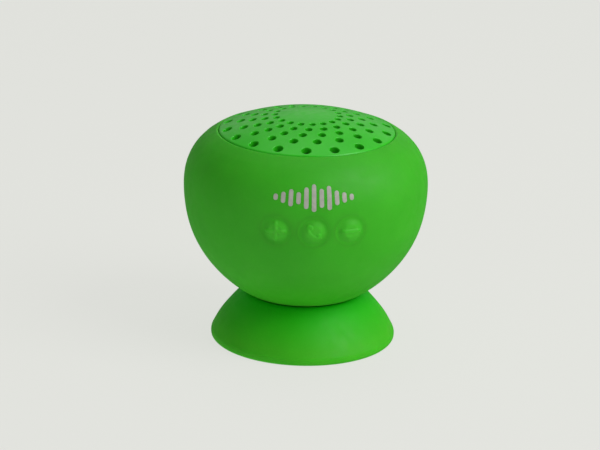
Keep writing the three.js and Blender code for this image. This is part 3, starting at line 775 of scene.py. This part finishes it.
def grille():
    g = Builder()
    centre = np.array([0, 0, GRILLE_TOP - SPHERE])
    rim_n = 180
    fillet = 0.24
    top2, top_id, top_edge, low2, low_id, low_edge = [], [], [], [], [], []
    spots, owner = [], {}
    for ring_r, hole, first in RINGS:
        sides = 28 if hole > 1.1 else 22
        for i in range(18):
            a = math.radians(first + 20 * i)
            out_dir = np.array([math.sin(a), -math.cos(a), 0])
            side = np.array([math.cos(a), math.sin(a), 0])
            tilt = math.asin(ring_r / SPHERE)
            n = out_dir * math.sin(tilt) + np.array([0, 0, math.cos(tilt)])
            e1 = np.cross(side, n)
            e1 /= np.linalg.norm(e1)
            c = centre + n * SPHERE
            t = np.arange(sides) * 2 * math.pi / sides

            def loop(rad, depth):
                pts = c + rad * (np.cos(t)[:, None] * e1 + np.sin(t)[:, None] * side)
                d = pts - centre
                return centre + d / np.linalg.norm(d, axis=1)[:, None] * (SPHERE - depth)

            def sphere_n(pts):
                d = pts - centre
                return d / np.linalg.norm(d, axis=1)[:, None]

            steps = []
            for alpha in (0, 22, 45, 68, 90):
                x = math.radians(alpha)
                pts = loop(hole + fillet * (1 - math.sin(x)), fillet * (1 - math.cos(x)))
                ids = g.points(pts)
                away_dir = (pts - c) - ((pts - c) @ n)[:, None] * n
                away_dir /= np.linalg.norm(away_dir, axis=1)[:, None]
                nn = sphere_n(pts) * math.cos(x) - away_dir * math.sin(x)
                g.exact(ids, nn, 1)
                steps.append(ids)
            ids = g.points(loop(hole * 0.93, GRILLE_T - 0.12))
            steps.append(ids)
            bottom = loop(hole * 0.93 + 0.03, GRILLE_T)
            ids = g.points(bottom)
            steps.append(ids)
            sample = np.array(g.v)[steps[0]]
            turn = np.cross(sample[0] - c, sample[1] - c) @ n
            for q in steps[0] + steps[-1]:
                owner[q] = len(spots)
            for k in range(len(steps) - 1):
                g.bridge(steps[k], steps[k + 1], 1 if k < 5 else 2, flip=turn < 0)
            start = len(top2)
            for k, q in enumerate(steps[0]):
                top2.append(Vector(g.v[q][:2]))
                top_id.append(q)
            top_edge += [(start + k, start + (k + 1) % sides) for k in range(sides)]
            start = len(low2)
            for q in steps[-1]:
                low2.append(Vector(g.v[q][:2]))
                low_id.append(q)
            low_edge += [(start + k, start + (k + 1) % sides) for k in range(sides)]
            low_c = centre + n * (SPHERE - GRILLE_T)
            spots.append((c[0], c[1], hole + fillet, low_c[0], low_c[1], hole * 0.93 + 0.03))

    def fill(points2, ids, edges, radius_out, depth, which, flip, group, ring_ids):
        start = len(points2)
        for q in ring_ids:
            points2.append(Vector(g.v[q][:2]))
            ids.append(q)
        n = len(ring_ids)
        edges += [(start + k, start + (k + 1) % n) for k in range(n)]
        for r in np.arange(0.0, radius_out - 0.45, 0.85):
            m = max(1, int(2 * math.pi * r / 0.95))
            for k in range(m):
                a = 2 * math.pi * (k + 0.5 * (int(r / 0.85) % 2)) / m
                x, y = r * math.sin(a), -r * math.cos(a)
                if all(math.hypot(x - s[which], y - s[which + 1]) > s[which + 2] + 0.22 for s in spots):
                    q = g.points([(x, y, dome_z(r, depth))])[0]
                    points2.append(Vector((x, y)))
                    ids.append(q)
        for q in ids:
            d = np.array(g.v[q]) - centre
            if group == 1 and (q, 1) not in g.n:
                g.exact([q], [d / np.linalg.norm(d)], 1)
        out, _, faces, origin, _, _ = delaunay_2d_cdt(points2, edges, [], 0, 1e-7, True)
        for f in faces:
            f3 = [ids[origin[k][0]] for k in f]
            holes = {owner.get(q) for q in f3}
            if len(holes) == 1 and None not in holes:   # a triangle across a hole
                continue
            a, c2, d = (np.array(g.v[q]) for q in f3[:3])
            up = np.cross(c2 - a, d - a)[2]
            if (up < 0) != flip:
                f3 = f3[::-1]
            g.face(f3, group)

    def turn(r, z):
        a = np.arange(rim_n) * 2 * math.pi / rim_n
        return g.points([(r * math.sin(x), -r * math.cos(x), z) for x in a])

    # rolled rim: tangent to the dome, then down to the skirt
    edge_r = 21.95
    z_e = float(dome_z(edge_r))
    tilt = math.asin(edge_r / SPHERE)
    rim = [turn(edge_r, z_e)]
    cr = 0.55
    cx, cz = edge_r - cr * math.sin(tilt), z_e - cr * math.cos(tilt)
    for a in np.linspace(90 - math.degrees(tilt), 0, 7)[1:]:
        rim.append(turn(cx + cr * math.cos(math.radians(a)), cz + cr * math.sin(math.radians(a))))
    outer_r = cx + cr
    rim.append(turn(outer_r, 52.0))
    for k in range(len(rim) - 1):
        g.bridge(rim[k], rim[k + 1], 1 if k < 6 else 3, flip=True)
    tail = [turn(outer_r - 0.15, 51.65), turn(21.13, 51.65), turn(21.0, 51.8), turn(21.0, float(dome_z(21.0, GRILLE_T)))]
    last = rim[-1]
    for k, ring in enumerate(tail):
        g.bridge(last, ring, 4 if k < 3 else 5, flip=True)
        last = ring
    fill(top2, top_id, top_edge, edge_r, 0.0, 0, False, 1, rim[0])
    fill(low2, low_id, low_edge, 21.0, GRILLE_T, 3, True, 6, tail[-1])
    return g.build("grille_cap", GRILLE_MAT)


finish_piece(grille(), "head", ["speaker_grille"])

# ------------------------------------------------------------------ suction cup
cup_out = spline([(22.55, 0.02), (23.1, 0.12), (23.5, 0.55), (23.6, 1.15), (23.5, 1.9), (23.08, 2.77), (22.6, 3.69), (22.09, 4.62), (21.51, 5.54),
                  (20.86, 6.46), (20.14, 7.38), (19.39, 8.31), (18.61, 9.23), (17.81, 10.15), (17.0, 10.98), (16.35, 11.6), (15.75, 12.15), (15.2, 12.55), (14.7, 12.72), (14.2, 12.62), (13.5, 12.3), (12.8, 12.03), (12.0, 11.95)], 0.3)
cup_in = spline([(21.75, 0.02), (21.2, 0.5), (20.5, 1.4), (19.3, 2.75), (17.3, 4.3), (14.5, 5.75), (11.4, 6.75), (8.0, 7.35), (4.0, 7.62), (0.0, 7.7)], 0.8)
c = Builder()
profile = [tuple(p) for p in cup_out] + [(10.0, 11.95), (5.1, 11.95), (4.95, 11.8), (4.95, 10.75), (8.9, 10.75), (8.9, 9.15), (0.0, 9.15)]
profile += [tuple(p) for p in cup_in[::-1]]
profile[len(profile) - len(cup_in)] = (0.0, 7.7)
lathe(c, profile, 144)
cup = c.build("suction_cup_soft", CUP_GREEN)
cup.data.materials.append(silicone("silicone_green_polished", lin(52, 180, 18), lin(58, 188, 24), rough=0.22, sheen=0.0, spec=0.5))
for face in cup.data.polygons:
    if face.center.z < 0.00765 and face.normal.z < -0.15 and math.hypot(face.center.x, face.center.y) < 0.0213:
        face.material_index = 1
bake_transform(cup)
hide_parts("suction_cup")


# ------------------------------------------------------------------ generic printed mark: a row of level bars
def print_bars():
    p = Builder()
    heights = [1.5, 2.6, 4.0, 2.8, 5.0, 6.4, 4.4, 5.6, 3.4, 2.4, 1.5]
    pitch, half = 1.9, 0.56
    for k, h in enumerate(heights):
        u0 = (k - (len(heights) - 1) / 2) * pitch
        outline = rounded(u0 - half, u0 + half, 46.5 - h / 2, 46.5 + h / 2, half - 0.01, per=6)
        cz = 46.5
        rings = []
        for scale, lift in ((1.0, -0.02), (1.0, 0.015), (0.9, 0.035), (0.5, 0.035)):
            pts = []
            for x, z in outline:
                core = (u0, min(max(z, 46.5 - h / 2 + half), 46.5 + h / 2 - half))
                x2, z2 = core[0] + (x - core[0]) * scale, core[1] + (z - core[1]) * scale
                q, _ = skin([x2 / 30.3], [s_of_z(z2)], -lift)
                pts.append(q[0])
            rings.append(p.points(pts))
        for a in range(3):
            p.bridge(rings[a], rings[a + 1], 1 if a else 2)
        # close front and back
        for ring, flip, lift in ((rings[3], False, 0.035), (rings[0], True, -0.02)):
            mid = []
            for t in np.linspace(-1, 1, 9):
                q, _ = skin([u0 / 30.3], [s_of_z(46.5 + t * (h / 2 - half))], -lift)
                mid.append(p.points([q[0]])[0])
            zs = np.linspace(46.5 - h / 2 + half, 46.5 + h / 2 - half, 9)
            near = [mid[int(np.argmin(abs(zs - p.v[k][2])))] for k in ring]
            p.bridge(ring, near, 3 if not flip else 4, flip=flip)
    return p.build("print_mark", PRINT)


finish_piece(print_bars(), "head")


# ------------------------------------------------------------------ port flap
def back_phi(x, z):
    return math.pi - np.arcsin(np.asarray(x, float) / radius(z))


def back_skin(x, z, h=0.0):
    """Points h mm outside the body's skin on the back, over plan position x at outline height z."""
    return skin(back_phi(x, z), s_of_z(z), -np.asarray(h, float))[0]


def flap_height(x, z):
    """Finger lip near the top edge, and the slight crown of a moulded flap."""
    x0, x1, z0, z1, _ = FLAP
    lip = bar_mask(x + 0.4, z - 35.2, 2.9, 0.36, 0.3)
    crown = np.clip(1 - ((x - (x0 + x1) / 2) / ((x1 - x0) / 2)) ** 4, 0, 1) * np.clip(1 - ((z - (z0 + z1) / 2) / ((z1 - z0) / 2)) ** 4, 0, 1)
    return 0.42 * lip + 0.07 * crown


def flap_normal(x, z):
    e = 0.03
    a = back_skin(x + e, z, flap_height(x + e, z)) - back_skin(x - e, z, flap_height(x - e, z))
    c = back_skin(x, z + e, flap_height(x, z + e)) - back_skin(x, z - e, flap_height(x, z - e))
    m = np.cross(c, a)
    m /= np.linalg.norm(m, axis=1)[:, None]
    return m * np.where(m[:, 1] < 0, -1, 1)[:, None]


def inset_outline(box, inset):
    x0, x1, z0, z1, k = box
    out = []
    for x, z in rounded(x0, x1, z0, z1, k):
        core = (min(max(x, x0 + k), x1 - k), min(max(z, z0 + k), z1 - k))
        d = math.dist((x, z), core)
        t = max(0.0, d - inset) / d if d > 1e-9 else 1
        out.append((core[0] + (x - core[0]) * t, core[1] + (z - core[1]) * t))
    return np.array(out)


def midline_cap(p, ring, pts_on, x0, x1, group, flip):
    """Fills a long ring that follows the curved wall by strips to a line along its middle."""
    xs = np.linspace(x0, x1, 17)
    q = pts_on(xs)
    mid = p.points(q)
    near = [mid[int(np.argmin(abs(q[:, 0] - p.v[i][0])))] for i in ring]
    p.bridge(ring, near, group, flip=flip)


def port_flap():
    p = Builder()
    x0, x1, z0, z1, k = FLAP
    edge = inset_outline(FLAP, 0.34)
    top = back_skin(edge[:, 0], edge[:, 1], flap_height(edge[:, 0], edge[:, 1]))
    first = p.points(top)
    p.exact(first, flap_normal(edge[:, 0], edge[:, 1]), 1)
    last = first
    for inset, depth, g in ((0.2, 0.03, 1), (0.09, 0.12, 1), (0.02, 0.26, 1), (0.0, 0.45, 1), (0.0, 1.5, 2), (2.5, 1.5, 3)):
        e = inset_outline(FLAP, inset)
        ring = p.points(back_skin(e[:, 0], e[:, 1], -depth))
        p.bridge(last, ring, g)
        last = ring
    midline_cap(p, last, lambda xs: back_skin(xs, np.full(len(xs), (z0 + z1) / 2), np.full(len(xs), -1.5)), x0 + k, x1 - k, 3, False)
    # outer face over a fine grid, so that the finger lip is in the mesh
    pts2, ids, edges = [], [], []
    for i, (x, z) in zip(first, edge):
        pts2.append(Vector((x, z)))
        ids.append(i)
    n = len(first)
    edges = [(i, (i + 1) % n) for i in range(n)]
    loop = [tuple(e) for e in edge]
    for x in np.arange(x0 + 0.5, x1 - 0.3, 0.36):
        for z in np.arange(z0 + 0.5, z1 - 0.3, 0.16):
            if inside(loop, x, z) and away(loop, x, z, 0.2):
                q = p.points(back_skin([x], [z], flap_height(x, z)))
                p.exact(q, flap_normal(np.array([x]), np.array([z])), 1)
                pts2.append(Vector((x, z)))
                ids.append(q[0])
    out, _, faces, origin, _, _ = delaunay_2d_cdt(pts2, edges, [], 1, 1e-7, True)
    for f in faces:
        f3 = [ids[origin[q][0]] for q in f]
        a, c2, d = (np.array(p.v[q]) for q in f3[:3])
        if np.cross(c2 - a, d - a)[1] < 0:
            f3 = f3[::-1]
        p.face(f3, 1)
    return p.build("port_flap_skin", GREEN)


flap = port_flap()
finish_piece(flap, "port_flap", ["port_flap"])


def port_plug():
    """Ridge behind the flap that fills the window's mouth."""
    p = Builder()
    box = (-8.7, 8.1, 31.9, 34.6, 0.8)
    last = None
    for inset, y, g in ((0.22, 26.6, 1), (0.06, 26.66, 1), (0.0, 26.82, 1)):
        e = inset_outline(box, inset)
        ring = p.points([(x, y, z) for x, z in e])
        if last is None:
            p.face(ring[::-1], 0)
        else:
            p.bridge(last, ring, g)
        last = ring
    e = inset_outline(box, 0.0)
    ring = p.points(back_skin(e[:, 0], e[:, 1], -1.42))
    p.bridge(last, ring, 2)
    midline_cap(p, ring, lambda xs: back_skin(xs, np.full(len(xs), 33.25), np.full(len(xs), -1.42)), -7.9, 7.3, 3, False)
    return p.build("port_plug", GREEN)


finish_piece(port_plug(), "port_flap")


def flap_strap():
    """Thin web that ties the flap to the sleeve."""
    p = Builder()
    zs = np.linspace(28.9, 30.7, 19)
    rings = []
    for x in np.linspace(-4.2, 3.8, 9):
        outer_line = back_skin(np.full(len(zs), x), zs, np.full(len(zs), -0.62))
        inner_line = back_skin(np.full(len(zs), x), zs, np.full(len(zs), -1.25))
        rings.append((p.points(outer_line), p.points(inner_line)))
    for (o0, i0), (o1, i1) in zip(rings, rings[1:]):
        p.bridge(o0, o1, 1, closed=False)
        p.bridge(i0, i1, 2, closed=False, flip=True)
        p.face((o0[0], i0[0], i1[0], o1[0])[::-1], 3)
        p.face((o0[-1], i0[-1], i1[-1], o1[-1]), 4)
    for (o, i), flip in ((rings[0], False), (rings[-1], True)):
        p.bridge(o, i, 5, closed=False, flip=not flip)
    return p.build("flap_strap", GREEN)


strap = flap_strap()
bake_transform(strap)


# ------------------------------------------------------------------ what the flap covers: socket, tongue, slide switch
def prism(name, material, rings, caps=(0, 0)):
    """Closed solid through rings of points, with flat ends."""
    p = Builder()
    ids = [p.points(r) for r in rings]
    p.face(ids[0][::-1], 90)
    for k in range(len(ids) - 1):
        p.bridge(ids[k], ids[k + 1], k)
    p.face(ids[-1], 91)
    return p.build(name, material)


def oriented(ob):
    """Stops with an error when the solid came out inside out."""
    me = ob.data
    v = np.array([q.co[:] for q in me.vertices])
    vol = 0.0
    for f in me.polygons:
        a = v[f.vertices[0]]
        for k in range(1, len(f.vertices) - 1):
            vol += a @ np.cross(v[f.vertices[k]], v[f.vertices[k + 1]])
    if vol < 0:
        raise RuntimeError(ob.name + " is inside out")
    return ob


def socket_ring(grow, y):
    """Micro-B outline seen from the back: a flat top and two sloping lower corners."""
    x0, x1, z0, z1 = -8.9 - grow, -1.3 + grow, 31.35 - grow, 34.05 + grow
    flat = [(x0 + 1.25, z0), (x1 - 1.25, z0), (x1 - 0.35, z0 + 1.0), (x1, z0 + 1.3), (x1, z1 - 0.35), (x1 - 0.1, z1 - 0.1), (x1 - 0.35, z1),
            (x0 + 0.35, z1), (x0 + 0.1, z1 - 0.1), (x0, z1 - 0.35), (x0, z0 + 1.3), (x0 + 0.35, z0 + 1.0)]
    return [(x, y, z) for x, z in flat]


socket = oriented(prism("usb_shell", STEEL, [
    socket_ring(0, 19.2)[::-1], socket_ring(0, 24.9)[::-1], socket_ring(0.07, 25.3)[::-1], socket_ring(0.07, 25.4)[::-1],
    socket_ring(-0.16, 25.4)[::-1], socket_ring(-0.3, 25.1)[::-1], socket_ring(-0.38, 20.0)[::-1],
]))
finish_piece(socket, "head", ["usb_socket"])

# slide knob with finger ribs on its end
knob_line = [(2.2, 21.9), (4.4, 21.9), (4.4, 25.6)]
for k in range(4):
    x = 4.4 - 0.22 - k * 0.55
    knob_line += [(x + 0.1, 25.9), (x - 0.12, 25.9)]
    if k < 3:
        knob_line += [(x - 0.2, 25.55), (x - 0.35, 25.55)]
knob_line += [(2.2, 25.6)]
cx, cy = 3.3, 23.9


def knob_ring(k, z):
    return [(cx + (x - cx) * k, cy + (y - cy) * (1 - (1 - k) * 0.6), z) for x, y in knob_line]


knob = oriented(prism("slide_knob", ABS, [knob_ring(0.92, 32.3), knob_ring(1.0, 32.4), knob_ring(1.0, 33.3), knob_ring(0.92, 33.4)]))
finish_piece(knob, "power_switch", ["power_switch_knob"])

contacts = Builder()
for k in range(5):
    x = -5.1 + (k - 2) * 0.65
    lo = contacts.points([(x - 0.14, 20.6, 32.58), (x + 0.14, 20.6, 32.58), (x + 0.14, 24.05, 32.58), (x - 0.14, 24.05, 32.58)])
    hi = contacts.points([(x - 0.14, 20.6, 32.72), (x + 0.14, 20.6, 32.72), (x + 0.14, 24.0, 32.72), (x - 0.14, 24.0, 32.72)])
    contacts.bridge(lo, hi, 4 * k)
    contacts.face(lo[::-1], 4 * k + 1)
    contacts.face(hi, 4 * k + 2)
finish_piece(oriented(contacts.build("usb_contacts", GOLD)), "head")

for name, width in (("usb_tongue", 0.08), ("power_switch_case", 0.18), ("bluetooth_module", 0.15), ("battery_cell", 0.5), ("amplifier_chip", 0.1)):
    bev = frame["nodes"][name].modifiers.new("edge", "BEVEL")
    bev.width = width * MM
    bev.segments = 2
    bev.limit_method = "ANGLE"
    bev.angle_limit = math.radians(50)
    bev.harden_normals = False

# ------------------------------------------------------------------ driver suspension, split where the cone moves
def ring_piece(name, outline, material, body, nodes=(), turns=96):
    """Closed outline in (r, z from the driver's flange), anticlockwise."""
    p = Builder()
    lathe(p, [(r, 51.0 + z) for r, z in outline], turns)
    finish_piece(oriented(p.build(name, material)), body, nodes)


roll_top = arc(15.8, 0.5, 1.1, 0, 180, 19)
roll_under = arc(15.8, 0.5, 0.78, 180, 0, 17)
ring_piece("surround_roll", [(16.9, 0.12), (18.3, 0.12), (18.4, 0.2), (18.4, 0.42), (18.3, 0.5)] + roll_top + [(14.7, 0.3), (14.86, 0.2), (15.02, 0.3)] + roll_under + [(16.58, 0.3), (16.66, 0.16)],
           RUBBER, "head", ["driver_surround"])
ring_piece("surround_cuff", [(13.1, 0.12), (14.5, 0.12), (14.6, 0.2), (14.6, 0.44), (14.52, 0.52), (14.3, 0.5), (13.2, 0.46), (13.1, 0.38)], RUBBER, "cone")


def wave(r):
    return -5.95 + 0.26 * math.sin((r - 5.15) * 2 * math.pi / 1.6)


outer_r = np.linspace(7.0, 12.6, 57)
ring_piece("spider_corrugated", [(r, wave(r) - 0.14) for r in outer_r] + [(13.1, -6.2), (13.2, -6.1), (13.2, -5.9), (13.1, -5.82)] + [(r, wave(r) + 0.14) for r in outer_r[::-1]],
           CLOTH_DARK, "head", ["driver_spider"])
collar_r = np.linspace(5.15, 6.9, 19)
ring_piece("spider_collar", [(r, wave(r) - 0.14) for r in collar_r] + [(r, wave(r) + 0.14) for r in collar_r[::-1]], CLOTH_DARK, "cone")

# ------------------------------------------------------------------ stage, light and camera
floor = bpy.data.meshes.new("floor")
disc = [(0, 0, 0)] + [(4 * math.cos(a), 4 * math.sin(a), 0) for a in np.linspace(0, 2 * math.pi, 64, endpoint=False)]
floor.from_pydata(disc, [], [(0, i + 1, (i + 1) % 64 + 1) for i in range(64)])
n = Nodes("floor_pale")
n.set(Roughness=0.9, Specular_IOR_Level=0.0, Emission_Strength=0.90)
n.bsdf.inputs["Base Color"].default_value = (0.11, 0.1105, 0.1055, 1)
n.bsdf.inputs["Emission Color"].default_value = lin(226, 227, 222)
floor.materials.append(n.mat)
floor_ob = bpy.data.objects.new("floor", floor)
floor_ob.location.z = -0.00005
floor_ob.visible_glossy = False   # a matt sweep: it lights the skin from below but puts no mirror image in it
bpy.context.scene.collection.objects.link(floor_ob)

world = bpy.data.worlds.new("studio")
bpy.context.scene.world = world
world.use_nodes = True
world.node_tree.nodes["Background"].inputs[0].default_value = lin(226, 227, 222)
world.node_tree.nodes["Background"].inputs[1].default_value = 0.22


def softbox(name, location, size, power, target=(0, 0, 0.03), colour=(1, 1, 1)):
    light = bpy.data.lights.new(name, "AREA")
    light.shape = "RECTANGLE"
    light.size, light.size_y = size
    light.energy = power
    light.color = colour
    ob = bpy.data.objects.new(name, light)
    ob.location = location
    ob.rotation_euler = (Vector(target) - Vector(location)).to_track_quat("-Z", "Y").to_euler()
    bpy.context.scene.collection.objects.link(ob)


softbox("key", (0.62, -0.42, 0.66), (0.62, 0.62), 6.2)
softbox("fill", (-0.75, -0.75, 0.42), (0.8, 0.6), 0.55)
softbox("side", (0.85, -0.05, 0.28), (0.5, 0.6), 0.55)
softbox("top", (0.1, 0.25, 0.95), (0.9, 0.9), 1.85)
softbox("back", (0.15, 0.95, 0.42), (1.0, 0.5), 0.52)

D, ELEV, AZ = 0.738, math.radians(18.30), math.radians(-4.0)
cam_data = bpy.data.cameras.new("camera")
cam = bpy.data.objects.new("camera", cam_data)
bpy.context.scene.collection.objects.link(cam)
aim = Vector((0, 0, 0.030))
cam.location = aim + Vector((D * math.cos(ELEV) * math.sin(AZ), -D * math.cos(ELEV) * math.cos(AZ), D * math.sin(ELEV)))
ROLL = math.radians(1.3)   # the picture is turned this much clockwise
cam.rotation_euler = ((aim - cam.location).to_track_quat("-Z", "Y") @ Quaternion((0, 0, 1), ROLL)).to_euler()
cam_data.sensor_width = 36.0
cam_data.lens = 173.5
cam_data.shift_x, cam_data.shift_y = -0.00815, -0.0018
cam_data.clip_start, cam_data.clip_end = 0.01, 20.0
bpy.context.scene.camera = cam
bpy.context.scene.view_settings.view_transform = "Standard"
